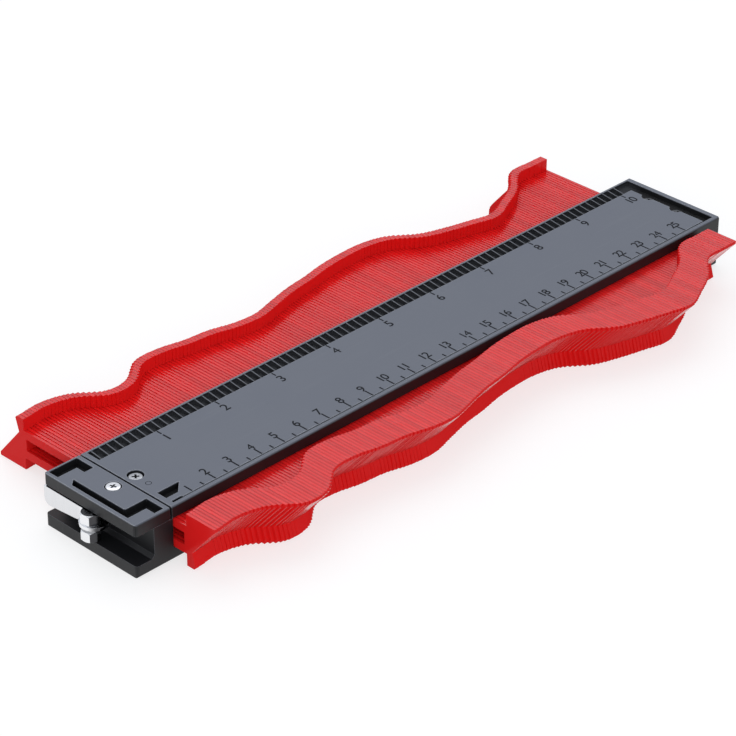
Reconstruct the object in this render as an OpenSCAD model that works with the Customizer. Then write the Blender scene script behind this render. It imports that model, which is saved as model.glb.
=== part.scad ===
// Contour gauge: a row of thin plastic leaves that slide between two covers,
// with a lever lock at one end. X runs along the row, Z up, from the middle of the base.

/* [Leaves] */
// Groups of leaves that slide by themselves
leaf_groups = 37; // [20:1:44]
// Leaves in one group
group_leaves = 5; // [2:1:6]
// Thickness of one leaf
leaf_t = 1.33; // [0.9:0.01:2]
// Gap between neighbouring leaves
leaf_gap = 0.06; // [0.04:0.01:0.3]
// Height of the web between the covers
web_h = 10.4; // [9:0.2:14]
// Travel of a leaf to each side of its middle place
leaf_travel = 16.7; // [15:0.1:24]
// Width of the narrow end of a head
head_w = 4; // [3:0.1:6]
// Width of a head at its neck
neck_w = 2.5; // [2:0.1:3]
// Height of the neck above the narrow end
neck_h = 5.8; // [4:0.1:8]
// Reach of a head out to its tip
tip_w = 12.9; // [9:0.1:18]
// Height of the slot through the web
slot_h = 4.4; // [3.6:0.1:5]

/* [Covers] */
// Width of the covers
body_w = 43; // [38:0.5:56]
// Thickness of the bottom cover
bottom_t = 4.3; // [3:0.1:6]
// Thickness of the top cover
cover_t = 4.3; // [4:0.1:6]
// Length of the end block under the lock cap
near_l = 15.3; // [15:0.1:22]
// Length of the wall at the far end
far_l = 9.3; // [9:0.1:14]
// Depth of the open mouth that the lever sits in
mouth_l = 7.4; // [7.2:0.1:8]
// Slope between the mouth's floor and its back wall
mouth_slope = 1.2; // [0.4:0.1:2]
// Width of the rims beside the ruler face
rim_w = 1.1; // [0.8:0.1:2]
// Width of the ribbed trough along the back
trough_w = 6; // [4:0.1:8]
// Depth of the trough and of the far channel
trough_d = 2.2; // [1.2:0.1:2.6]
// Bevel along the long edges
edge_bevel = 0.5; // [0.2:0.1:1]
// Rounding of the upright corners at the lock end
corner_r = 1.2; // [0.5:0.1:2]

/* [Lock] */
// Length of the lock cap
cap_l = 14.3; // [13.6:0.1:15]
// Gap between the lock cap and the ruler cover
seam_w = 0.8; // [0.2:0.1:1.2]
// Depth of the recesses in the cap
cap_recess_d = 3; // [1:0.1:3.2]
// Distance of the lever's pivot behind the end face
pivot_in = 0.5; // [0:0.1:0.8]
// Radius of the pivot pin
pin_r = 1.75; // [1.2:0.05:2]
// Corner radius of the hexagons
hex_r = 3.6; // [3.2:0.1:4.2]
// Radius of the lever's cam
cam_r = 5; // [4.4:0.1:5.2]
// Offset of the cam's centre from the pivot
cam_offset = 1.4; // [0.8:0.1:1.6]
// Thickness of the lever's tab
tab_t = 1.4; // [1:0.1:2]
// Width of the tie strap
strap_w = 6; // [4:0.5:6]
// Thickness of the tie strap
strap_t = 1.1; // [0.8:0.1:1.2]
// Thickness of the pressure plate
press_t = 1.9; // [1.4:0.1:2.2]

/* [Hidden] */
$fn = 48;
inch = 25.4;

// Clearances
slide_gap = 0.3;
end_play = 0.36;
side_gap = 0.4;
head_inset = 0.2;
seat_gap = 0.05;
run_gap = 0.2;
press_gap = 0.2;
cam_gap = 0.15;
press_back = 0.5;

// Levels
cover_z = bottom_t + web_h + 2 * slide_gap;
body_h = cover_z + cover_t;
web_z = bottom_t + slide_gap + web_h / 2;
head_h = min(web_z, body_h - web_z) - head_inset;

// Lengths, from the lock end to the far end
leaf_pitch = leaf_t + leaf_gap;
stack_l = leaf_groups * group_leaves * leaf_pitch - leaf_gap;
body_l = near_l + stack_l + far_l + 2 * end_play;
near_x = -body_l / 2;
far_x = body_l / 2;
stack_x = near_x + near_l + end_play;
wall_x = far_x - far_l;
seam_x = near_x + cap_l + seam_w;
half_w = body_w / 2;

// Ruler face: the trough along the back, the channel across the far end, the line along the front
trough_y = half_w - rim_w;
trough_x = seam_x + 1.8;
rib_pitch = inch / 8;
rib_w = 0.5;
rib_h = 1;
channel_x = far_x - 6.8;
channel_l = 5;
line_w = 0.6;
line_d = 0.4;
line_y = -half_w + 1.9;
pocket_d = 2.4;
pocket_y = -half_w + 4.9;
pocket_h = 4.3;
pocket_x = seam_x + 2.1;
pocket_l = 9.2;
start_slot_l = 4.5;
start_slot_w = 1.1;
start_slot_d = 1.2;

// Screws
screw_r = 1.2;
screw_head_r = 2.5;
screw_head_t = 1.2;
bore_gap = 0.3;
cap_screw_at = [near_x + mouth_l + 2.6, 0];
cap_screw_z = body_h - 1.1;
cap_screw_l = 6.2;
lap_screw_at = [seam_x + 4.2, 0];
lap_end_x = seam_x + 7.3;
lap_w = 10;
lap_t = 1.4;
lap_screw_z = cover_z + lap_t + slide_gap + 0.8;
end_screw_y = 6.6;
end_screw_at = [for (side = [-1, 1]) [far_x - 5.9, side * end_screw_y]];
end_screw_z = cover_z + 1.4;
end_screw_l = 8;

// Lock: the pivot, and from the bottom up the nut, the strap, the cam and the hub
pivot_x = near_x + pivot_in;
strap_z = web_z - 1.3;
nut_z = bottom_t + 0.6;
cam_z = strap_z + strap_t + run_gap;
cam_t = 1.2;
hub_z = cam_z + cam_t;
hub_top = cover_z - 0.5;
hex_turn = 40;
hex_bevel = 0.5;
pin_z = nut_z - 0.3;
pin_top = hub_top - 0.2;
tab_out = half_w;
tab_low = web_z - 1.6;
tab_round = 2.4;

// Pressure plate in its pocket, with the nose that meets the cam
press_x = stack_x - press_gap - press_t;
press_pocket_x = press_x - press_back - slide_gap;
cheek_t = 4.1;
nose_w = 5.2;
nose_h = 1.1;
nose_x = pivot_x + cam_offset + cam_r + cam_gap;
window_w = 8.4;

// The strap's anchor in the far wall
strap_hook_x = wall_x + 3.2;
strap_hook_l = 3;
strap_hook_w = strap_w + 3.2;

// Shift of the row at each centimetre of the scale, as it stands after taking a profile
contour = [11.5, 12.5, 10, 3, 3.5, 10.5, 11, 9, 8, 5.5, 5, 7.5, 10, 11.5,
           13.5, 14.5, 14.5, 12, 5, 1.5, -1, -3, 1, 6, 14, 14.5, 14.5];
contour_step = 10;
// Unevenness from leaf to leaf
leaf_scatter = 0.05;

black = [0.16, 0.17, 0.19];
red = [0.82, 0.1, 0.08];
steel = [0.72, 0.73, 0.75];
chrome = [0.9, 0.9, 0.92];

function group_name(i) = str("leaf_group_", i < 10 ? "0" : "", i);

// A box between two corners
module box(low, high) {
    translate(low) cube(high - low);
}

// An outline in Y and Z, drawn out along X
module along_x(x0, x1) {
    translate([x0, 0, 0]) rotate([90, 0, 90]) linear_extrude(x1 - x0) children();
}

// An outline in X and Z, drawn out along Y
module along_y(y0, y1) {
    translate([0, y1, 0]) rotate([90, 0, 0]) linear_extrude(y1 - y0) children();
}

// A cylinder that stands at a point in plan
module post(at, r, z0, z1) {
    translate([at.x, at.y, z0]) cylinder(r = r, h = z1 - z0);
}

// A screw with a domed head on a plain shank
module screw(at, seat_z, length) {
    translate([at.x, at.y, seat_z]) {
        rotate_extrude() polygon([[0, -length], [screw_r, -length], [screw_r, 0], [screw_head_r, 0],
            [screw_head_r, screw_head_t * 0.6], [screw_head_r * 0.6, screw_head_t], [0, screw_head_t]]);
    }
}

// The room that a screw needs: shank, head and the way in from above
module screw_room(at, seat_z, length) {
    post(at, screw_r + seat_gap, seat_z - length - bore_gap, seat_z + 1);
    post(at, screw_head_r + bore_gap, seat_z, body_h + 1);
}

// A hexagonal prism with its corners turned off at both ends
module hexagon(z0, z1) {
    h = z1 - z0;
    translate([pivot_x, 0, z0]) intersection() {
        rotate(hex_turn) cylinder(r = hex_r, h = h, $fn = 6);
        rotate_extrude() polygon([[0, 0], [hex_r - hex_bevel, 0], [hex_r, hex_bevel],
            [hex_r, h - hex_bevel], [hex_r - hex_bevel, h], [0, h]]);
    }
}

// Outline of a cover between its inner and its outer face, with the outer long edges bevelled
module cover_outline(inner_z, outer_z) {
    side_z = outer_z + (inner_z > outer_z ? edge_bevel : -edge_bevel);
    face_w = half_w - edge_bevel;
    polygon([[-half_w, inner_z], [half_w, inner_z], [half_w, side_z],
        [face_w, outer_z], [-face_w, outer_z], [-half_w, side_z]]);
}

// The trough's room in X and Z, with a rib left standing at every eighth of an inch
module trough_outline() {
    floor_z = body_h - trough_d;
    end_x = channel_x + 1;
    first = ceil((trough_x + rib_w - stack_x) / rib_pitch);
    last = floor((channel_x - stack_x) / rib_pitch);
    polygon(concat(
        [[trough_x, body_h + 1], [trough_x, floor_z]],
        [for (i = [first : last]) let (x = stack_x + i * rib_pitch) each [
            [x - rib_w / 2, floor_z], [x - rib_w / 2, floor_z + rib_h],
            [x + rib_w / 2, floor_z + rib_h], [x + rib_w / 2, floor_z]]],
        [[end_x, floor_z], [end_x, body_h + 1]]
    ));
}

module top_cover() {
    color(black) difference() {
        along_x(seam_x, far_x) cover_outline(cover_z, body_h);
        along_y(trough_y - trough_w, trough_y) trough_outline();
        box([channel_x, line_y - line_w / 2, body_h - trough_d],
            [channel_x + channel_l, trough_y, body_h + 1]);
        box([pocket_x, line_y - line_w / 2, body_h - line_d],
            [channel_x + 1, line_y + line_w / 2, body_h + 1]);
        box([pocket_x, line_y - line_w / 2, body_h - start_slot_d],
            [pocket_x + start_slot_l, line_y - line_w / 2 + start_slot_w, body_h + 1]);
        translate([pocket_x, pocket_y, body_h - pocket_d]) linear_extrude(pocket_d + 1)
            polygon([[0, 0], [pocket_l - pocket_h, 0], [pocket_l, pocket_h], [0, pocket_h]]);
        box([seam_x - 1, -lap_w / 2 - slide_gap, cover_z - 1],
            [lap_end_x + slide_gap, lap_w / 2 + slide_gap, cover_z + lap_t + slide_gap]);
        screw_room(lap_screw_at, lap_screw_z, cover_t);
        for (at = end_screw_at) screw_room(at, end_screw_z, end_screw_l);
    }
}

// What is taken off to round the upright corners at the lock end
module corner_room() {
    for (side = [-1, 1]) difference() {
        translate([near_x, side * half_w, 0]) box([-1, -corner_r, -1], [corner_r, corner_r, body_h + 1]);
        post([near_x + corner_r, side * (half_w - corner_r)], corner_r, -2, body_h + 2);
        translate([near_x, side * (half_w - corner_r), 0])
            box([-2, side > 0 ? -body_w : 0, -2], [body_w, side > 0 ? 0 : body_w, body_h + 2]);
    }
}

module bottom_cover() {
    color(black) difference() {
        union() {
            along_x(near_x, far_x) cover_outline(bottom_t, 0);
            translate([near_x + mouth_l, 0, bottom_t]) along_y(-half_w, half_w)
                polygon([[-mouth_slope, 0], [0, mouth_slope], [1, mouth_slope], [1, -1], [-mouth_slope, -1]]);
            box([near_x + mouth_l, -half_w, bottom_t], [near_x + near_l, half_w, cover_z]);
            box([wall_x, -half_w, bottom_t], [far_x, half_w, cover_z]);
        }
        box([press_pocket_x, cheek_t - half_w, bottom_t],
            [near_x + near_l + 1, half_w - cheek_t, cover_z + 1]);
        box([near_x + mouth_l - 1, -window_w / 2, strap_z - slide_gap],
            [press_pocket_x + 1, window_w / 2, cam_z + nose_h + slide_gap]);
        box([wall_x - 1, -strap_w / 2 - slide_gap, strap_z - slide_gap],
            [strap_hook_x + 1, strap_w / 2 + slide_gap, cover_z + 1]);
        box([strap_hook_x, -strap_hook_w / 2 - slide_gap, strap_z - slide_gap],
            [strap_hook_x + strap_hook_l + 2 * slide_gap, strap_hook_w / 2 + slide_gap, cover_z + 1]);
        screw_room(cap_screw_at, cap_screw_z, cap_screw_l);
        for (at = end_screw_at) screw_room(at, end_screw_z, end_screw_l);
        corner_room();
    }
}

// Outlines of the cap's two recesses, measured from its end face and the covers' side faces
module cap_recesses() {
    leg_x = cap_l - 5.3;
    end_x = cap_l - 1.5;
    linear_extrude(cap_recess_d + 1) {
        translate([near_x, half_w])
            polygon([[1.2, -1], [end_x, -1], [end_x, -9.1], [leg_x, -9.1], [leg_x, -5.5], [1.2, -5.5]]);
        translate([near_x, -half_w])
            polygon([[1.4, 5], [leg_x, 5], [leg_x, 1.3], [end_x, 1.3], [end_x, 9.2], [4.4, 9.2], [3.9, 9.7],
                [3.9, body_w - 9.7], [1.4, body_w - 12]]);
    }
}

module lock_cap() {
    color(black) difference() {
        union() {
            along_x(near_x, near_x + cap_l) cover_outline(cover_z, body_h);
            box([near_x + cap_l - 1, -lap_w / 2, cover_z], [lap_end_x, lap_w / 2, cover_z + lap_t]);
        }
        translate([0, 0, body_h - cap_recess_d]) cap_recesses();
        screw_room(cap_screw_at, cap_screw_z, cap_screw_l);
        post(lap_screw_at, screw_r + seat_gap, cover_z - 1, body_h);
        corner_room();
    }
}

// Side view of the lever's tab in Y and Z, with its lower outer corner rounded
module tab_outline() {
    corner = [tab_out - tab_round, tab_low + tab_round];
    polygon(concat(
        [[0, hub_top], [0, hub_z], [hex_r, hub_z], [hex_r + 2.2, tab_low + 1.2]],
        [for (a = [-90 : 10 : 0]) corner + tab_round * [cos(a), sin(a)]],
        [[tab_out, hub_top]]
    ));
}

module lock_lever() {
    color(chrome) difference() {
        union() {
            hexagon(hub_z, hub_top);
            post([pivot_x + cam_offset, 0], cam_r, cam_z, hub_z);
            along_x(pivot_x - tab_t / 2, pivot_x + tab_t / 2) tab_outline();
        }
        post([pivot_x, 0], pin_r + seat_gap, cam_z - 1, body_h);
    }
}

module pivot_pin() {
    color(steel) post([pivot_x, 0], pin_r, pin_z, pin_top);
}

module pivot_nut() {
    color(chrome) difference() {
        hexagon(nut_z, strap_z);
        post([pivot_x, 0], pin_r + seat_gap, 0, body_h);
    }
}

module tie_strap() {
    color(steel) difference() {
        union() {
            post([pivot_x, 0], strap_w / 2, strap_z, strap_z + strap_t);
            box([pivot_x, -strap_w / 2, strap_z], [strap_hook_x + 1, strap_w / 2, strap_z + strap_t]);
            box([strap_hook_x + slide_gap, -strap_hook_w / 2, strap_z],
                [strap_hook_x + slide_gap + strap_hook_l, strap_hook_w / 2, strap_z + strap_t]);
        }
        post([pivot_x, 0], pin_r + seat_gap, 0, body_h);
    }
}

module pressure_plate() {
    color(steel) difference() {
        union() {
            box([press_x, cheek_t - half_w + slide_gap, bottom_t + slide_gap],
                [press_x + press_t, half_w - cheek_t - slide_gap, cover_z - slide_gap]);
            box([nose_x, -nose_w / 2, cam_z], [press_x + 1, nose_w / 2, cam_z + nose_h]);
        }
        box([press_x - 1, -strap_w / 2 - slide_gap, strap_z - slide_gap],
            [press_x + press_t + 1, strap_w / 2 + slide_gap, strap_z + strap_t + run_gap / 2]);
    }
}

module cap_screw() {
    color(chrome) screw(cap_screw_at, cap_screw_z, cap_screw_l);
}

module lap_screw() {
    color(steel) screw(lap_screw_at, lap_screw_z, lap_screw_z - cover_z);
}

module end_screws() {
    color(steel) for (at = end_screw_at) screw(at, end_screw_z, end_screw_l);
}

// Shift of the leaf that stands at a distance along the scale: a smooth curve through the contour
function knot(k) = contour[max(0, min(len(contour) - 1, k))];
function curve(a, b, c, d, t) =
    (2 * b + (c - a) * t + (2 * a - 5 * b + 4 * c - d) * t * t + (3 * b - a - 3 * c + d) * t * t * t) / 2;
function shift_at(s) = let (k = floor(s / contour_step))
    curve(knot(k - 1), knot(k), knot(k + 1), knot(k + 2), s / contour_step - k);
function leaf_shift(n) = let (shift = shift_at(n * leaf_pitch) + leaf_scatter * sin(137 * n))
    max(-leaf_travel, min(leaf_travel, shift));

// One end of a leaf, from the web's top round the head to the web's bottom; the other end is its half turn
head_in = half_w + side_gap + leaf_travel;
tip_blunt = 0.4;
foot_blunt = 0.8;
leaf_end = [
    [-head_in, web_h / 2], [-head_in, head_h], [-head_in - tip_w, head_h],
    [-head_in - tip_w, head_h - tip_blunt], [-head_in - neck_w, neck_h - head_h],
    [-head_in - head_w, foot_blunt - head_h], [-head_in - head_w + foot_blunt, -head_h],
    [-head_in, -head_h], [-head_in, -web_h / 2]
];
slot_end = 1;

module leaf(n) {
    x = stack_x + n * leaf_pitch;
    translate([x, leaf_shift(n), web_z]) difference() {
        along_x(0, leaf_t) polygon(concat(leaf_end, -leaf_end));
        box([-1, slot_end - head_in, -slot_h / 2], [leaf_t + 1, head_in - slot_end, slot_h / 2]);
    }
}

module leaf_group(i) {
    first = (i - 1) * group_leaves;
    color(red) for (n = [first : first + group_leaves - 1]) leaf(n);
}

top_cover();
bottom_cover();
lock_cap();
lock_lever();
pivot_pin();
pivot_nut();
tie_strap();
pressure_plate();
cap_screw();
lap_screw();
end_screws();
for (i = [1 : leaf_groups]) leaf_group(i);
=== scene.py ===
import math

import bmesh
import bpy
from mathutils import Matrix, Vector


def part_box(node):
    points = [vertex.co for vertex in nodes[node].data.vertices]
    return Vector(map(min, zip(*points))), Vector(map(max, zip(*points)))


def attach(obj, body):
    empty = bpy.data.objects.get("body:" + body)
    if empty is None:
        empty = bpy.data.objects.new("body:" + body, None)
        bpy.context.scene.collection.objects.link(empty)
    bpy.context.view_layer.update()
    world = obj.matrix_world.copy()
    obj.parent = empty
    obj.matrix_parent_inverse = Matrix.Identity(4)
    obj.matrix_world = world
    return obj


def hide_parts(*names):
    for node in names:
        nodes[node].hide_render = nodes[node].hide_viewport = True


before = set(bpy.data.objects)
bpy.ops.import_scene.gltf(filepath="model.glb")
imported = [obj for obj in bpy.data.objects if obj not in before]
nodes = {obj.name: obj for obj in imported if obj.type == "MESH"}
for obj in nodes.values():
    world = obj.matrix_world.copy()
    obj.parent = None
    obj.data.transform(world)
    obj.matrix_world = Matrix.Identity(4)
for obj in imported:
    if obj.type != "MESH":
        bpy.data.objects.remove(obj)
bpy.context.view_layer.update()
mm = 0.001
inch = 25.4 * mm
centimetre = 10 * mm
facingLimit = 0.9  # a face looks along an axis where its normal passes this
print("frame loaded:", len(nodes), "nodes")

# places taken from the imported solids
coverLow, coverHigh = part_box("top_cover")
leafLow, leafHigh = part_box("leaf_group_01")
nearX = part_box("bottom_cover")[0].x
faceZ = coverHigh.z
frontY = coverLow.y
zeroX = leafLow.x  # both scales count from the first leaf


def deselectAll():
    active = bpy.context.view_layer.objects.active
    if active and active.mode != "OBJECT":
        bpy.ops.object.mode_set(mode="OBJECT")
    bpy.ops.object.select_all(action="DESELECT")


def activate(piece):
    deselectAll()
    piece.select_set(True)
    bpy.context.view_layer.objects.active = piece


def settle(piece, name):
    activate(piece)
    bpy.ops.object.transform_apply(location=True, rotation=True, scale=True)
    piece.name = name
    piece.data.name = name
    return piece


def joinPieces(parts, name):
    deselectAll()
    for part in parts:
        part.select_set(True)
    bpy.context.view_layer.objects.active = parts[0]
    bpy.ops.object.join()
    return settle(parts[0], name)


def copyAt(piece, x, y):
    twin = piece.copy()
    twin.data = piece.data.copy()
    bpy.context.scene.collection.objects.link(twin)
    twin.location.x, twin.location.y = x, y
    return twin


def applyModifier(piece, kind, **values):
    activate(piece)
    modifier = piece.modifiers.new(kind.lower(), kind)
    for key, value in values.items():
        setattr(modifier, key, value)
    bpy.ops.object.modifier_apply(modifier=modifier.name)


def selectInEdit(piece, test, kind="FACE"):
    # picks faces or edges of the mesh in edit mode by their place or normal
    mesh = bmesh.from_edit_mesh(piece.data)
    bpy.ops.mesh.select_all(action="DESELECT")
    bpy.ops.mesh.select_mode(type=kind)
    for item in (mesh.faces if kind == "FACE" else mesh.edges):
        item.select_set(test(item))
    mesh.select_flush_mode()
    bmesh.update_edit_mesh(piece.data)


def dress(piece, material, body):
    if not piece.data.materials:
        piece.data.materials.append(material)
    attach(piece, body)


# small helpers for node trees

def newGroup(name, inputs, outputs):
    group = bpy.data.node_groups.new(name, "ShaderNodeTree")
    for way, sockets in (("INPUT", inputs), ("OUTPUT", outputs)):
        for label, kind in sockets:
            group.interface.new_socket(label, in_out=way, socket_type=kind)
    return group, group.nodes.new("NodeGroupInput"), group.nodes.new("NodeGroupOutput")


def useGroup(tree, group, **values):
    node = tree.nodes.new("ShaderNodeGroup")
    node.node_tree = group
    for label, value in values.items():
        node.inputs[label].default_value = value
    return node


def addNode(tree, kind, values):
    node = tree.nodes.new(kind)
    for label, value in values.items():
        node.inputs[label].default_value = value
    return node


def addMath(tree, operation, first, second=None):
    node = tree.nodes.new("ShaderNodeMath")
    node.operation = operation
    for place, value in enumerate((first, second)):
        if isinstance(value, (int, float)):
            node.inputs[place].default_value = value
        elif value is not None:
            tree.links.new(value, node.inputs[place])
    return node.outputs[0]


def addProduct(tree, *factors):
    result = factors[0]
    for factor in factors[1:]:
        result = addMath(tree, "MULTIPLY", result, factor)
    return result


def addRange(tree, value, low, high, toLow, toHigh, smooth=False):
    node = tree.nodes.new("ShaderNodeMapRange")
    node.interpolation_type = "SMOOTHSTEP" if smooth else "LINEAR"
    tree.links.new(value, node.inputs["Value"])
    for label, number in (("From Min", low), ("From Max", high), ("To Min", toLow), ("To Max", toHigh)):
        node.inputs[label].default_value = number
    return node.outputs["Result"]


def addMix(tree, factor, first, second):
    node = tree.nodes.new("ShaderNodeMix")
    node.data_type = "RGBA"
    for place, value in ((0, factor), (6, first), (7, second)):
        if isinstance(value, tuple):
            node.inputs[place].default_value = (*value, 1)
        else:
            tree.links.new(value, node.inputs[place])
    return node.outputs[2]


def addBump(tree, height, normal, strength, distance):
    bump = addNode(tree, "ShaderNodeBump", {"Strength": strength, "Distance": distance})
    tree.links.new(height, bump.inputs["Height"])
    if normal is not None:
        tree.links.new(normal, bump.inputs["Normal"])
    return bump.outputs[0]


def splitVector(tree, vector):
    node = tree.nodes.new("ShaderNodeSeparateXYZ")
    tree.links.new(vector, node.inputs[0])
    return node.outputs


def splitNormal(tree):
    return splitVector(tree, tree.nodes.new("ShaderNodeNewGeometry").outputs["Normal"])


def newMaterial(name):
    material = bpy.data.materials.new(name)
    material.use_nodes = True
    tree = material.node_tree
    tree.nodes.clear()
    out = tree.nodes.new("ShaderNodeOutputMaterial")
    shader = tree.nodes.new("ShaderNodeBsdfPrincipled")
    tree.links.new(shader.outputs[0], out.inputs["Surface"])
    coords = tree.nodes.new("ShaderNodeTexCoord")
    return material, tree, shader, coords.outputs["Object"]


# effects that several materials share
effectShape = {
    "fineDetail": 3.0, "broadDetail": 5.0, "grainRough": 0.6,
    "edgeSamples": 6, "edgeFull": 0.8,
    "lineDetail": 2.0, "lineScale": 1.0, "lineRange": (0.3, 0.7),
    "scratchScale": 0.35, "scratchRange": (0.62, 0.72),
}


def buildGrain():
    # fine moulded grain and broad cloudiness
    shape = effectShape
    group, start, end = newGroup(
        "mouldGrain",
        [("Vector", "NodeSocketVector"), ("Fine", "NodeSocketFloat"), ("Broad", "NodeSocketFloat")],
        [("Height", "NodeSocketFloat"), ("Tone", "NodeSocketFloat")])
    for label, source, detail in (
            ("Height", "Fine", shape["fineDetail"]), ("Tone", "Broad", shape["broadDetail"])):
        noise = addNode(group, "ShaderNodeTexNoise", {"Detail": detail, "Roughness": shape["grainRough"]})
        group.links.new(start.outputs["Vector"], noise.inputs["Vector"])
        group.links.new(start.outputs[source], noise.inputs["Scale"])
        group.links.new(noise.outputs[0], end.inputs[label])
    return group


def buildEdge():
    # softened edges: a rounded normal and a mask of where the edges run
    shape = effectShape
    group, start, end = newGroup(
        "edgeSoft",
        [("Radius", "NodeSocketFloat")],
        [("Mask", "NodeSocketFloat"), ("Normal", "NodeSocketVector")])
    bevel = group.nodes.new("ShaderNodeBevel")
    bevel.samples = shape["edgeSamples"]
    geometry = group.nodes.new("ShaderNodeNewGeometry")
    dot = group.nodes.new("ShaderNodeVectorMath")
    dot.operation = "DOT_PRODUCT"
    group.links.new(start.outputs["Radius"], bevel.inputs["Radius"])
    group.links.new(bevel.outputs["Normal"], dot.inputs[0])
    group.links.new(geometry.outputs["Normal"], dot.inputs[1])
    mask = addRange(group, dot.outputs["Value"], 1.0, shape["edgeFull"], 0.0, 1.0)
    group.links.new(mask, end.inputs["Mask"])
    group.links.new(bevel.outputs["Normal"], end.inputs["Normal"])
    return group


def buildBrush():
    # fine lines drawn along one direction, with a few deeper scratches
    shape = effectShape
    group, start, end = newGroup(
        "brushLines",
        [("Vector", "NodeSocketVector"), ("Stretch", "NodeSocketVector")],
        [("Lines", "NodeSocketFloat"), ("Scratch", "NodeSocketFloat")])
    scaled = group.nodes.new("ShaderNodeVectorMath")
    scaled.operation = "MULTIPLY"
    group.links.new(start.outputs["Vector"], scaled.inputs[0])
    group.links.new(start.outputs["Stretch"], scaled.inputs[1])
    for label, scale, (low, high) in (
            ("Lines", shape["lineScale"], shape["lineRange"]),
            ("Scratch", shape["scratchScale"], shape["scratchRange"])):
        noise = addNode(group, "ShaderNodeTexNoise", {"Scale": scale, "Detail": shape["lineDetail"]})
        group.links.new(scaled.outputs[0], noise.inputs["Vector"])
        group.links.new(addRange(group, noise.outputs[0], low, high, 0.0, 1.0), end.inputs[label])
    return group


grainGroup = buildGrain()
edgeGroup = buildEdge()
brushGroup = buildBrush()

# limits of the face, recesses and ribs are depths below the ruler face, those of the trough are places along Y
coverLook = {
    "tone": (0.013, 0.0135, 0.0155), "toneLow": (0.008, 0.0085, 0.0095),
    "face": (0.138, 0.152, 0.188), "faceLow": (0.123, 0.137, 0.170), "faceFrom": 0.5 * mm, "faceTo": 0.1 * mm,
    "recess": (0.007, 0.0075, 0.0085), "recessFrom": 0.3 * mm, "recessTo": 1.6 * mm, "recessAmount": 0.92,
    "recessRough": 0.8, "rimInset": 0.3 * mm, "underInset": 0.1 * mm,
    "troughNear": (0.014, 0.015, 0.0175), "troughFar": (0.046, 0.049, 0.056),
    "troughFrom": 14.2 * mm, "troughTo": 20.3 * mm,
    "ribNear": (0.075, 0.081, 0.095), "ribFar": (0.125, 0.134, 0.156),
    "ribLow": 1.35 * mm, "ribHigh": 0.2 * mm, "ribFacing": 0.6,
    "edge": (0.42, 0.44, 0.48), "edgeAmount": 0.4, "edgeRadius": 0.22 * mm,
    "rimAmount": 1.0, "rimRadius": 0.42 * mm,
    "specular": 0.32, "roughFrom": 0.3, "roughTo": 0.7, "roughLow": 0.36, "roughHigh": 0.5,
    "grain": 3600.0, "cloud": 45.0, "bump": 0.25, "bumpDepth": 0.04 * mm,
    "scuff": (90.0, 1700.0, 600.0), "scuffAmount": 0.08,
}


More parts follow.
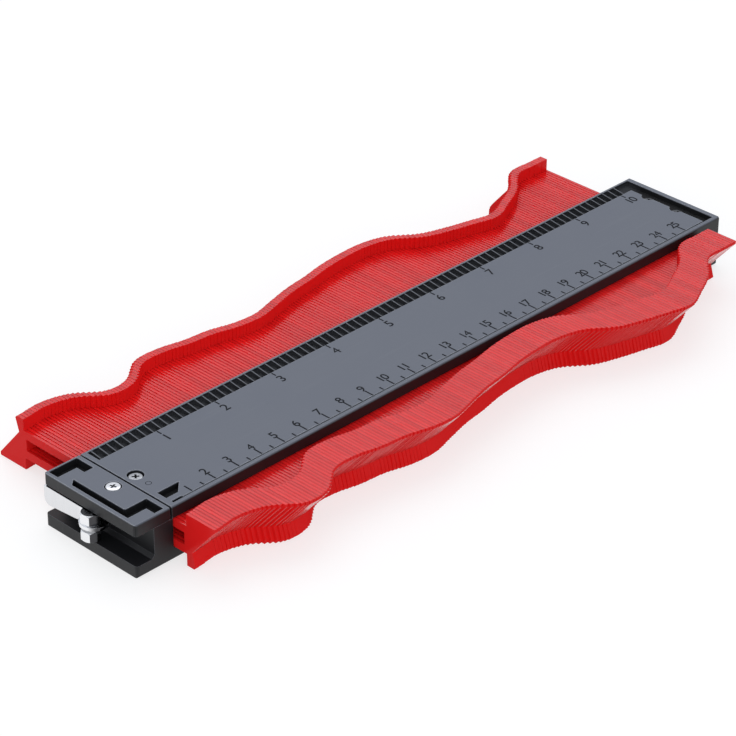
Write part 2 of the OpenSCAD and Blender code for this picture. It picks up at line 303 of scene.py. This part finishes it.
def makeCoverBlack():
    look = coverLook
    material, tree, shader, coords = newMaterial("coverBlack")
    grain = useGroup(tree, grainGroup, Fine=look["grain"], Broad=look["cloud"])
    tree.links.new(coords, grain.inputs["Vector"])
    edge = useGroup(tree, edgeGroup, Radius=look["edgeRadius"])
    place = splitVector(tree, coords)
    # faces that lie below the ruler face, inside the rims, are blacker
    below = addRange(tree, place["Z"], faceZ - look["recessFrom"], faceZ - look["recessTo"], 0.0, 1.0, True)
    above = addMath(tree, "GREATER_THAN", place["Z"], coverLow.z + look["underInset"])
    within = addMath(tree, "LESS_THAN", addMath(tree, "ABSOLUTE", place["Y"]), -frontY - look["rimInset"])
    inside = addMath(tree, "GREATER_THAN", place["X"], nearX + look["rimInset"])
    sunk = addProduct(tree, below, above, within, inside)
    # the ruler face is painted far lighter than the other black faces: a painted sheen of the light from above
    onFace = addRange(tree, place["Z"], faceZ - look["faceFrom"], faceZ - look["faceTo"], 0.0, 1.0)
    tone = addMix(tree, grain.outputs["Tone"], look["toneLow"], look["tone"])
    face = addMix(tree, grain.outputs["Tone"], look["faceLow"], look["face"])
    tone = addMix(tree, onFace, tone, face)
    # edges are painted pale: partly rubbed wear, and around the ruler face mostly a painted highlight
    rim = useGroup(tree, edgeGroup, Radius=look["rimRadius"])
    rubbedAndHighlit = addMath(tree, "MAXIMUM", addProduct(tree, rim.outputs["Mask"], onFace, look["rimAmount"]),
                     addProduct(tree, edge.outputs["Mask"], look["edgeAmount"]))
    tone = addMix(tree, rubbedAndHighlit, tone, look["edge"])
    # the trough is painted lighter towards its back rim: painted shade under its front wall
    inTrough = addProduct(tree, addMath(tree, "GREATER_THAN", place["Y"], look["troughFrom"]),
                          addMath(tree, "GREATER_THAN", place["X"], coverLow.x))
    back = addRange(tree, place["Y"], look["troughFrom"], look["troughTo"], 0.0, 1.0)
    depth = addMix(tree, inTrough, look["recess"], addMix(tree, back, look["troughNear"], look["troughFar"]))
    tone = addMix(tree, addProduct(tree, sunk, look["recessAmount"]), tone, depth)
    # the tops of its ribs are painted grey, a painted highlight of the light from above, lighter towards the back
    # rim
    facing = splitVector(tree, tree.nodes.new("ShaderNodeTexCoord").outputs["Normal"])
    ribTopLit = addProduct(
        tree, inTrough, within,
        addMath(tree, "GREATER_THAN", place["Z"], faceZ - look["ribLow"]),
        addMath(tree, "LESS_THAN", place["Z"], faceZ - look["ribHigh"]),
        addMath(tree, "GREATER_THAN", facing["Z"], look["ribFacing"]))
    tone = addMix(tree, ribTopLit, tone, addMix(tree, back, look["ribNear"], look["ribFar"]))
    tree.links.new(tone, shader.inputs["Base Color"])
    shader.inputs["Specular IOR Level"].default_value = look["specular"]
    rough = addRange(
        tree, grain.outputs["Tone"], look["roughFrom"], look["roughTo"], look["roughLow"], look["roughHigh"])
    scuff = useGroup(tree, brushGroup, Stretch=look["scuff"])
    tree.links.new(coords, scuff.inputs["Vector"])
    rough = addMath(tree, "SUBTRACT", rough, addProduct(tree, scuff.outputs["Scratch"], look["scuffAmount"]))
    rough = addMath(tree, "MAXIMUM", rough, addProduct(tree, sunk, look["recessRough"]))
    tree.links.new(rough, shader.inputs["Roughness"])
    normal = addBump(tree, grain.outputs["Height"], edge.outputs["Normal"], look["bump"], look["bumpDepth"])
    tree.links.new(normal, shader.inputs["Normal"])
    return material


leafLook = {
    "tone": (0.87, 0.014, 0.014), "toneLow": (0.73, 0.010, 0.011), "side": (0.82, 0.014, 0.014),
    "under": (0.95, 0.06, 0.06), "edge": (0.85, 0.05, 0.045), "joint": (0.14, 0.002, 0.004),
    "pitch": 1.39 * mm, "lead": 0.07 * mm, "upFrom": 0.6, "upTo": 0.9, "underFrom": -0.2, "underTo": -0.5,
    "crown": 0.2 * mm, "crownPower": 3.5, "crownStrength": 0.8, "jointAmount": 0.8, "jointLeast": 0.2,
    "edgeAmount": 0.35, "edgeRadius": 0.07 * mm, "specularTop": 0.46, "specularSide": 0.06, "specularUnder": 1.0,
    "roughLow": 0.1, "roughHigh": 0.2, "drag": (1400.0, 50.0, 1400.0), "bump": 0.1, "bumpDepth": 0.03 * mm,
}


def makeLeafRed():
    look = leafLook
    material, tree, shader, coords = newMaterial("leafRed")
    along = addMath(tree, "SUBTRACT", splitVector(tree, coords)["X"], zeroX - look["lead"])
    count = addMath(tree, "DIVIDE", along, look["pitch"])
    # every leaf has its own slight tone
    chance = tree.nodes.new("ShaderNodeTexWhiteNoise")
    chance.noise_dimensions = "1D"
    tree.links.new(addMath(tree, "FLOOR", count), chance.inputs["W"])
    brush = useGroup(tree, brushGroup, Stretch=look["drag"])
    tree.links.new(coords, brush.inputs["Vector"])
    edge = useGroup(tree, edgeGroup, Radius=look["edgeRadius"])
    # the upper edges are slightly crowned, and on upward faces the joints between leaves are painted dark, a
    # painted shade in the gaps, so they show as fine lines from above
    across = addMath(tree, "SUBTRACT", addProduct(tree, addMath(tree, "FRACT", count), 2.0), 1.0)
    crown = addMath(tree, "POWER", addMath(tree, "ABSOLUTE", across), look["crownPower"])
    facing = splitNormal(tree)
    upward = addRange(tree, facing["Z"], look["upFrom"], look["upTo"], 0.0, 1.0)
    under = addRange(tree, facing["Z"], look["underFrom"], look["underTo"], 0.0, 1.0)
    joint = addProduct(tree, crown, upward)
    tone = addMix(tree, chance.outputs["Value"], look["tone"], look["toneLow"])
    # painted light: upright faces take a darker red and undersides a brighter red than upward faces, for how the
    # light falls on them
    tone = addMix(tree, upward, addMix(tree, under, look["side"], look["under"]), tone)
    depth = addRange(tree, chance.outputs["Value"], 0.0, 1.0, look["jointLeast"], look["jointAmount"])
    tone = addMix(tree, addProduct(tree, joint, depth), tone, look["joint"])
    # upward edges are painted paler: partly wear, partly a painted highlight along them
    worn = addProduct(tree, edge.outputs["Mask"], upward, look["edgeAmount"])
    tone = addMix(tree, worn, tone, look["edge"])
    tree.links.new(tone, shader.inputs["Base Color"])
    rough = addRange(tree, brush.outputs["Lines"], 0.0, 1.0, look["roughLow"], look["roughHigh"])
    tree.links.new(rough, shader.inputs["Roughness"])
    # upright faces are duller than the upper edges and the undersides
    shine = addRange(tree, upward, 0.0, 1.0, look["specularSide"], look["specularTop"])
    shine = addMath(tree, "MAXIMUM", shine, addProduct(tree, under, look["specularUnder"]))
    tree.links.new(shine, shader.inputs["Specular IOR Level"])
    normal = addBump(tree, brush.outputs["Lines"], None, look["bump"], look["bumpDepth"])
    dip = addMath(tree, "SUBTRACT", 1.0, joint)
    normal = addBump(tree, dip, normal, look["crownStrength"], look["crown"])
    tree.links.new(normal, shader.inputs["Normal"])
    return material


brightLook = {
    "tone": (0.76, 0.765, 0.78), "toneLow": (0.73, 0.735, 0.75),
    "scratch": (0.68, 0.68, 0.70), "scratchAmount": 0.4,
    "turned": (0.86, 0.865, 0.88), "turnedFront": (0.07, 0.07, 0.075), "tabFrom": 4.4 * mm, "lockEnd": 7.6 * mm,
    "frontFrom": -0.35, "frontTo": -0.85, "rightFrom": 0.0, "rightTo": 0.4,
    "roughLow": 0.06, "roughHigh": 0.15, "stretch": (900.0, 900.0, 120.0), "bump": 0.06, "bumpDepth": 0.02 * mm,
    "edgeRadius": 0.2 * mm,
}
steelLook = {
    "tone": (0.42, 0.43, 0.45), "toneLow": (0.30, 0.31, 0.33),
    "scratch": (0.22, 0.22, 0.24), "scratchAmount": 0.4,
    "roughLow": 0.24, "roughHigh": 0.42, "stretch": (160.0, 1500.0, 1500.0), "bump": 0.12, "bumpDepth": 0.03 * mm,
    "edgeRadius": 0.15 * mm,
}
darkLook = {
    "tone": (0.15, 0.155, 0.165), "toneLow": (0.08, 0.082, 0.09),
    "scratch": (0.24, 0.24, 0.25), "scratchAmount": 0.4,
    "roughLow": 0.28, "roughHigh": 0.45, "stretch": (700.0, 700.0, 700.0), "bump": 0.12, "bumpDepth": 0.03 * mm,
    "edgeRadius": 0.15 * mm,
}


def makeMetal(name, look):
    material, tree, shader, coords = newMaterial(name)
    shader.inputs["Metallic"].default_value = 1.0
    brush = useGroup(tree, brushGroup, Stretch=look["stretch"])
    tree.links.new(coords, brush.inputs["Vector"])
    edge = useGroup(tree, edgeGroup, Radius=look["edgeRadius"])
    tone = addMix(tree, brush.outputs["Lines"], look["toneLow"], look["tone"])
    tone = addMix(tree, addProduct(tree, brush.outputs["Scratch"], look["scratchAmount"]), tone, look["scratch"])
    if "turned" in look:
        # painted reflection: the hexagons beside the pressed tab are painted darker on their front flats than on
        # their left ones, as if they mirrored a dark surrounding
        place = splitVector(tree, coords)
        beside = addProduct(tree, addMath(tree, "LESS_THAN", place["Y"], look["tabFrom"]),
                            addMath(tree, "LESS_THAN", place["X"], nearX + look["lockEnd"]))
        facing = splitNormal(tree)
        front = addProduct(tree, addRange(tree, facing["Y"], look["frontFrom"], look["frontTo"], 0.0, 1.0, True),
                           addRange(tree, facing["X"], look["rightFrom"], look["rightTo"], 1.0, 0.0, True))
        tone = addMix(tree, beside, tone, addMix(tree, front, look["turned"], look["turnedFront"]))
    tree.links.new(tone, shader.inputs["Base Color"])
    rough = addRange(tree, brush.outputs["Lines"], 0.0, 1.0, look["roughLow"], look["roughHigh"])
    tree.links.new(rough, shader.inputs["Roughness"])
    normal = addBump(tree, brush.outputs["Lines"], edge.outputs["Normal"], look["bump"], look["bumpDepth"])
    tree.links.new(normal, shader.inputs["Normal"])
    return material


inkLook = {
    "tone": (0.014, 0.015, 0.018), "worn": (0.03, 0.032, 0.038), "wornFrom": 0.5, "wornTo": 0.75,
    "grain": 2600.0, "cloud": 900.0, "bump": 0.2, "bumpDepth": 0.03 * mm, "rough": 0.75, "specular": 0.12,
}


def makeInk():
    look = inkLook
    material, tree, shader, coords = newMaterial("markInk")
    grain = useGroup(tree, grainGroup, Fine=look["grain"], Broad=look["cloud"])
    tree.links.new(coords, grain.inputs["Vector"])
    worn = addRange(tree, grain.outputs["Tone"], look["wornFrom"], look["wornTo"], 0.0, 1.0)
    tree.links.new(addMix(tree, worn, look["tone"], look["worn"]), shader.inputs["Base Color"])
    shader.inputs["Roughness"].default_value = look["rough"]
    shader.inputs["Specular IOR Level"].default_value = look["specular"]
    normal = addBump(tree, grain.outputs["Height"], None, look["bump"], look["bumpDepth"])
    tree.links.new(normal, shader.inputs["Normal"])
    return material


coverBlack = makeCoverBlack()
leafRed = makeLeafRed()
brightMetal = makeMetal("brightMetal", brightLook)
plainSteel = makeMetal("plainSteel", steelLook)
darkSteel = makeMetal("darkSteel", darkLook)
markInk = makeInk()
print("materials made")

# every node that isn't named here is a group of leaves
nodeLooks = {
    "top_cover": coverBlack, "bottom_cover": coverBlack, "lock_cap": coverBlack,
    "lock_lever": brightMetal, "pivot_nut": brightMetal, "cap_screw": brightMetal,
    "pivot_pin": plainSteel, "tie_strap": plainSteel, "pressure_plate": plainSteel,
    "lap_screw": plainSteel, "end_screws": darkSteel,
}
for name, node in nodes.items():
    look = nodeLooks.get(name, leafRed)
    if not node.material_slots:
        node.data.materials.append(look)
    for slot in node.material_slots:
        slot.material = look
print("solids dressed")

# softened copies of the solids that show, each in place of its own
softShape = {
    "weld": 0.002 * mm, "flat": math.radians(0.5), "sharp": math.radians(35), "smooth": math.radians(30),
    "segments": 2, "leafWidth": 0.08 * mm, "leafSegments": 1, "near": 0.06 * mm,
    "footTop": 5.9 * mm, "tipBlunt": 0.4 * mm, "tipMore": 0.8 * mm,
    "ribDrop": 1.2 * mm, "ribMore": 0.85 * mm, "ribFoot": 20.0 * mm,
}
softEdges = {
    "top_cover": ("frame", "cover_black", 0.14 * mm),
    "bottom_cover": ("frame", "cover_black", 0.2 * mm),
    "lock_cap": ("frame", "cover_black", 0.18 * mm),
    "lock_lever": ("lever", "bright_metal", 0.16 * mm),
    "pivot_nut": ("frame", "bright_metal", 0.12 * mm),
}
for name in nodes:
    if name.startswith("leaf_group"):
        softEdges[name] = (name, "leaf_red", softShape["leafWidth"])


def leafEdge(edge):
    # the front heads' feet and the back heads' walls keep their sharp edges
    if edge.calc_face_angle(0) < softShape["sharp"]:
        return False
    first, second = (vert.co for vert in edge.verts)
    level = abs(first.z - second.z) < softShape["near"]
    return min(first.z, second.z) > softShape["footTop"] and (level or max(first.y, second.y) < 0)


def bluntTips(piece):
    # the tips' end faces are taller, at the top in front and at the bottom behind
    shape = softShape
    frontTip = (True, leafHigh.z - shape["tipBlunt"], -shape["tipMore"])
    backTip = (False, leafLow.z + shape["tipBlunt"], shape["tipMore"])
    for front, height, move in (frontTip, backTip):
        selectInEdit(piece, lambda edge: all(
            (vert.co.y < 0) == front and abs(vert.co.z - height) < shape["near"]
            for vert in edge.verts), "EDGE")
        bpy.ops.transform.translate(value=(0, 0, move))


def slopeRibs(piece):
    # the trough's ribs rise towards the back rim
    shape = softShape
    selectInEdit(piece, lambda edge: all(
        vert.co.y > shape["ribFoot"] and abs(vert.co.z - faceZ + shape["ribDrop"]) < shape["near"]
        for vert in edge.verts), "EDGE")
    bpy.ops.transform.translate(value=(0, 0, shape["ribMore"]))


def softenSolid(name, body, slot, width):
    shape = softShape
    source = nodes[name]
    piece = bpy.data.objects.new(name + "Soft", source.data.copy())
    bpy.context.scene.collection.objects.link(piece)
    piece.matrix_world = source.matrix_world.copy()
    activate(piece)
    bpy.ops.object.mode_set(mode="EDIT")
    bpy.ops.mesh.select_all(action="SELECT")
    bpy.ops.mesh.remove_doubles(threshold=shape["weld"])
    bpy.ops.mesh.dissolve_limited(angle_limit=shape["flat"])
    if name == "top_cover":
        slopeRibs(piece)
    if slot == "leaf_red":
        bluntTips(piece)
        selectInEdit(piece, leafEdge, "EDGE")
        bpy.ops.mesh.bevel(offset=width, segments=shape["leafSegments"], affect="EDGES", clamp_overlap=True)
        bpy.ops.object.mode_set(mode="OBJECT")
        bpy.ops.object.shade_flat()
    else:
        bpy.ops.object.mode_set(mode="OBJECT")
        applyModifier(piece, "BEVEL", width=width, segments=shape["segments"], limit_method="ANGLE",
                      angle_limit=shape["sharp"], use_clamp_overlap=True)
        bpy.ops.object.shade_smooth_by_angle(angle=shape["smooth"])
        applyModifier(piece, "WEIGHTED_NORMAL", keep_sharp=True)
    settle(piece, name + "Soft")
    dress(piece, source.material_slots[0].material, body)
    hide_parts(name)


for name, (body, slot, width) in softEdges.items():
    softenSolid(name, body, slot, width)
print("edges softened:", len(softEdges))

# screws with a cross recess, turns in degrees
screwShape = {
    "headRadius": 2.5 * mm, "headHeight": 1.2 * mm, "shankRadius": 1.15 * mm, "sides": 48,
    "domeEdge": 0.5 * mm, "domeSegments": 4, "domeProfile": 0.55, "near": 0.01 * mm, "smooth": math.radians(35),
    "crossLength": 3.1 * mm, "crossWidth": 0.85 * mm, "crossDepth": 0.75 * mm, "crossTaper": 0.55,
    "capTurn": 20, "lapTurn": 52, "endTurns": (10, 38),
}


def makeCutter(turn):
    # one tapered bar of the cross, set at the head's top
    shape = screwShape
    deselectAll()
    bpy.ops.mesh.primitive_cube_add(size=1, location=(0, 0, 0))
    cutter = bpy.context.object
    cutter.scale = (shape["crossLength"], shape["crossWidth"], 2 * shape["crossDepth"])
    bpy.ops.object.transform_apply(location=True, rotation=True, scale=True)
    bpy.ops.object.mode_set(mode="EDIT")
    selectInEdit(cutter, lambda face: face.normal.z < -facingLimit)
    bpy.ops.transform.resize(value=(shape["crossTaper"], shape["crossTaper"], 1))
    bpy.ops.object.mode_set(mode="OBJECT")
    cutter.rotation_euler.z = math.radians(turn)
    cutter.location.z = shape["headHeight"]
    bpy.ops.object.transform_apply(location=True, rotation=True, scale=True)
    return cutter


def makeScrew(x, y, seatZ, length, turn, look, recess):
    shape = screwShape
    deselectAll()
    bpy.ops.mesh.primitive_cylinder_add(
        vertices=shape["sides"], radius=shape["headRadius"], depth=shape["headHeight"],
        location=(0, 0, shape["headHeight"] / 2))
    screw = bpy.context.object
    bpy.ops.object.transform_apply(location=True, rotation=True, scale=True)
    bpy.ops.object.mode_set(mode="EDIT")
    selectInEdit(screw, lambda face: face.normal.z < -facingLimit)
    bpy.ops.mesh.inset(thickness=shape["headRadius"] - shape["shankRadius"])
    bpy.ops.mesh.extrude_region_move(TRANSFORM_OT_translate={"value": (0, 0, -length)})
    rimZ = shape["headHeight"] - shape["near"]
    selectInEdit(screw, lambda edge: all(vert.co.z > rimZ for vert in edge.verts), "EDGE")
    bpy.ops.mesh.bevel(
        offset=shape["domeEdge"], segments=shape["domeSegments"], profile=shape["domeProfile"], affect="EDGES")
    bpy.ops.object.mode_set(mode="OBJECT")
    screw.data.materials.append(look)
    cutters = [makeCutter(turn), makeCutter(turn + 90)]
    for cutter in cutters:
        cutter.data.materials.append(recess)
        applyModifier(screw, "BOOLEAN", operation="DIFFERENCE", solver="EXACT",
                      material_mode="TRANSFER", object=cutter)
        bpy.data.objects.remove(cutter)
    screw.location = (x, y, seatZ)
    activate(screw)
    bpy.ops.object.shade_smooth_by_angle(angle=shape["smooth"])
    return screw


def middle(name):
    low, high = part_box(name)
    return (low + high) / 2, low, high


def addScrews():
    shape = screwShape
    made = []
    # each cross recess takes a darker material than its head: painted shade inside the cross
    for name, look, recess, slot, turn in (
            ("cap_screw", brightMetal, plainSteel, "bright_metal", shape["capTurn"]),
            ("lap_screw", plainSteel, coverBlack, "plain_steel", shape["lapTurn"])):
        centre, low, high = middle(name)
        seat = high.z - shape["headHeight"]
        screw = makeScrew(centre.x, centre.y, seat, seat - low.z, turn, look, recess)
        made.append((settle(screw, name + "Cross"), name, look, slot))
    centre, low, high = middle("end_screws")
    seat = high.z - shape["headHeight"]
    places = (low.y + shape["headRadius"], high.y - shape["headRadius"])
    # their cross recesses are black: painted shade inside the cross
    pair = [makeScrew(centre.x, y, seat, seat - low.z, turn, darkSteel, coverBlack)
            for y, turn in zip(places, shape["endTurns"])]
    made.append((joinPieces(pair, "end_screwsCross"), "end_screws", darkSteel, "plain_steel"))
    for screw, name, look, slot in made:
        dress(screw, look, "frame")
        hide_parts(name)
    print("screws made:", len(made))


addScrews()

# the two scales on the ruler face
scaleShape = {
    "markHeight": 0.05 * mm, "sink": 0.03 * mm, "barWidth": 0.55 * mm, "barEdge": 0.02 * mm,
    "inchCount": 10, "inchFar": 14.2 * mm, "inchNear": 12.0 * mm, "inchTextY": 9.2 * mm, "inchTextSize": 5.3 * mm,
    "cmFirstBar": 1, "cmFirstNumber": 2, "cmCount": 25, "cmTextY": -14.0 * mm, "cmTextSize": 5.0 * mm,
    "cmLineY": 2.3 * mm, "cmLong": 3.7 * mm, "cmShort": 1.9 * mm,
    "textStroke": 0.035 * mm, "textSpace": 0.82, "textSteps": 4,
}


def makeBar(length):
    shape = scaleShape
    deselectAll()
    bpy.ops.mesh.primitive_cube_add(size=1, location=(0, 0, 0))
    bar = bpy.context.object
    bar.scale = (shape["barWidth"], length, shape["markHeight"] + shape["sink"])
    bpy.ops.object.transform_apply(location=True, rotation=True, scale=True)
    bpy.ops.object.mode_set(mode="EDIT")
    selectInEdit(bar, lambda face: face.normal.z > facingLimit)
    bpy.ops.mesh.bevel(offset=shape["barEdge"], segments=1, affect="EDGES")
    bpy.ops.object.mode_set(mode="OBJECT")
    bar.location.z = faceZ + (shape["markHeight"] - shape["sink"]) / 2
    return bar


def makeNumber(text, size, x, y):
    shape = scaleShape
    deselectAll()
    bpy.ops.object.text_add(location=(0, 0, 0))
    number = bpy.context.object
    number.data.body = text
    number.data.size = size
    number.data.align_x = "CENTER"
    number.data.align_y = "CENTER"
    number.data.resolution_u = shape["textSteps"]
    number.data.offset = 0.0 if "4" in text else shape["textStroke"]  # a wider stroke fills in a 4
    number.data.space_character = shape["textSpace"]
    number.data.extrude = (shape["markHeight"] + shape["sink"]) / 2
    bpy.ops.object.convert(target="MESH")
    number = bpy.context.object
    number.location = (x, y, faceZ + (shape["markHeight"] - shape["sink"]) / 2)
    return number


def addScales():
    shape = scaleShape
    inches = range(1, shape["inchCount"] + 1)
    inchBar = makeBar(shape["inchFar"] - shape["inchNear"])
    middleY = (shape["inchFar"] + shape["inchNear"]) / 2
    bars = [copyAt(inchBar, zeroX + inch * k, middleY) for k in inches]
    longBar, shortBar = makeBar(shape["cmLong"]), makeBar(shape["cmShort"])
    lineY = frontY + shape["cmLineY"]
    for half in range(2 * shape["cmFirstBar"], 2 * shape["cmCount"] + 1):
        whole = half % 2 == 0
        length = shape["cmLong"] if whole else shape["cmShort"]
        bars.append(copyAt(longBar if whole else shortBar, zeroX + half * centimetre / 2, lineY + length / 2))
    for bar in (inchBar, longBar, shortBar):
        bpy.data.objects.remove(bar)
    dress(joinPieces(bars, "scaleBars"), markInk, "frame")
    numbers = [makeNumber(str(k), shape["inchTextSize"], zeroX + inch * k, shape["inchTextY"]) for k in inches]
    numbers += [makeNumber(str(k), shape["cmTextSize"], zeroX + centimetre * k, shape["cmTextY"])
                for k in range(shape["cmFirstNumber"], shape["cmCount"] + 1)]
    dress(joinPieces(numbers, "scaleNumbers"), markInk, "frame")
    print("scales made:", len(bars), "bars,", len(numbers), "numbers")


addScales()

# small round mark beside the lap screw
markShape = {
    "x": 19.0 * mm, "y": -6.4 * mm, "radius": 0.95 * mm, "wire": 0.1 * mm, "flat": 0.35,
    "ringSegments": 32, "wireSegments": 8,
}


def addRoundMark():
    shape = markShape
    deselectAll()
    bpy.ops.mesh.primitive_torus_add(
        major_segments=shape["ringSegments"], minor_segments=shape["wireSegments"],
        major_radius=shape["radius"], minor_radius=shape["wire"],
        location=(nearX + shape["x"], shape["y"], faceZ))
    ring = bpy.context.object
    ring.scale.z = shape["flat"]
    bpy.ops.object.shade_smooth()
    dress(settle(ring, "roundMark"), markInk, "frame")
    print("round mark made")


addRoundMark()

# floor, light and camera
floorShape = {
    "size": 8.0, "drop": 0.1 * mm, "tone": (0.36, 0.36, 0.36), "rough": 0.8,
    "lift": 0.68, "mirrorLift": 0.69, "bounceLift": 0.14,
}
lightSet = [
    {"name": "overhead", "place": (0.35, 0.45, 1.3), "size": 1.5, "power": 6.0, "mirrored": True},
    {"name": "leftFill", "place": (-1.1, 0.3, 0.6), "size": 0.9, "power": 0.8, "mirrored": False},
    {"name": "frontFill", "place": (-0.8, -0.85, 0.5), "size": 0.5, "power": 4.0, "mirrored": False},
]
worldSet = {
    "tint": (0.775, 0.8, 0.85), "ambient": 0.68, "skyHigh": 1.15, "skyLow": 0.9, "skyFrom": 0.0, "skyTo": 0.6,
    "front": (-0.72, -0.69, 0.0), "frontDim": 0.3, "dimFrom": 0.2, "dimTo": 0.95,
}
cameraSet = {
    "azimuth": -45.72, "elevation": 31.04, "roll": 0.39, "distance": 1.01164,
    "target": (-0.01375, 0.00437, 0.01061), "lens": 146.93, "sensor": 36.0, "clip": 0.05,
}


def addFloor():
    shape = floorShape
    deselectAll()
    bpy.ops.mesh.primitive_plane_add(size=shape["size"], location=(0, 0, -shape["drop"]))
    floor = settle(bpy.context.object, "floor")
    material, tree, shader = newMaterial("paleFloor")[:3]
    shader.inputs["Base Color"].default_value = (*shape["tone"], 1)
    shader.inputs["Roughness"].default_value = shape["rough"]
    # the floor is lifted to white for the viewer and for reflections, and keeps its shadow
    path = tree.nodes.new("ShaderNodeLightPath").outputs
    mirrored = addMath(tree, "MAXIMUM", path["Is Glossy Ray"], path["Is Transmission Ray"])
    glow = addMath(tree, "ADD", addProduct(tree, path["Is Camera Ray"], shape["lift"]),
                   addProduct(tree, mirrored, shape["mirrorLift"]))
    glow = addMath(tree, "ADD", glow, addProduct(tree, path["Is Diffuse Ray"], shape["bounceLift"]))
    shader.inputs["Emission Color"].default_value = (1, 1, 1, 1)
    tree.links.new(glow, shader.inputs["Emission Strength"])
    floor.data.materials.append(material)


def addLights():
    for spec in lightSet:
        lamp = bpy.data.lights.new(spec["name"], "AREA")
        lamp.shape = "DISK"
        lamp.size = spec["size"]
        lamp.energy = spec["power"]
        holder = bpy.data.objects.new(spec["name"], lamp)
        bpy.context.scene.collection.objects.link(holder)
        holder.location = spec["place"]
        holder.visible_glossy = spec["mirrored"]
        holder.rotation_euler = (-Vector(spec["place"])).to_track_quat("-Z", "Y").to_euler()


def addWorld():
    spec = worldSet
    world = bpy.data.worlds.new("studio")
    bpy.context.scene.world = world
    world.use_nodes = True
    tree = world.node_tree
    tree.nodes.clear()
    out = tree.nodes.new("ShaderNodeOutputWorld")
    sky = addNode(tree, "ShaderNodeBackground", {"Color": (*spec["tint"], 1)})
    tree.links.new(sky.outputs[0], out.inputs["Surface"])
    direction = tree.nodes.new("ShaderNodeTexCoord").outputs["Generated"]
    # the studio is brightest above and darker behind the viewer
    upward = splitVector(tree, direction)["Z"]
    high = addRange(tree, upward, spec["skyFrom"], spec["skyTo"], spec["skyLow"], spec["skyHigh"], True)
    toward = tree.nodes.new("ShaderNodeVectorMath")
    toward.operation = "DOT_PRODUCT"
    tree.links.new(direction, toward.inputs[0])
    toward.inputs[1].default_value = spec["front"]
    dim = addRange(tree, toward.outputs["Value"], spec["dimFrom"], spec["dimTo"], 1.0, spec["frontDim"], True)
    path = tree.nodes.new("ShaderNodeLightPath").outputs
    mirrored = addMath(tree, "MAXIMUM", path["Is Glossy Ray"], path["Is Transmission Ray"])
    mixed = tree.nodes.new("ShaderNodeMix")
    mixed.inputs[2].default_value = spec["ambient"]
    tree.links.new(addMath(tree, "MAXIMUM", path["Is Camera Ray"], mirrored), mixed.inputs[0])
    tree.links.new(addProduct(tree, high, dim), mixed.inputs[3])
    tree.links.new(mixed.outputs[0], sky.inputs["Strength"])


def addCamera():
    spec = cameraSet
    az, el, roll = (math.radians(spec[key]) for key in ("azimuth", "elevation", "roll"))
    back = Vector((math.sin(az) * math.cos(el), -math.cos(az) * math.cos(el), math.sin(el)))
    right = Vector((math.cos(az), math.sin(az), 0))
    up = back.cross(right)
    turnedRight = right * math.cos(roll) + up * math.sin(roll)
    turnedUp = up * math.cos(roll) - right * math.sin(roll)
    place = Vector(spec["target"]) + back * spec["distance"]
    lensData = bpy.data.cameras.new("camera")
    lensData.sensor_width = spec["sensor"]
    lensData.lens = spec["lens"]
    lensData.clip_start = spec["clip"]
    lensData.dof.use_dof = False
    camera = bpy.data.objects.new("camera", lensData)
    bpy.context.scene.collection.objects.link(camera)
    turn = Matrix((turnedRight, turnedUp, back)).transposed().to_4x4()
    camera.matrix_world = Matrix.Translation(place) @ turn
    bpy.context.scene.camera = camera


addFloor()
addLights()
addWorld()
addCamera()
bpy.context.scene.view_settings.view_transform = "Standard"
print("floor, light and camera set")
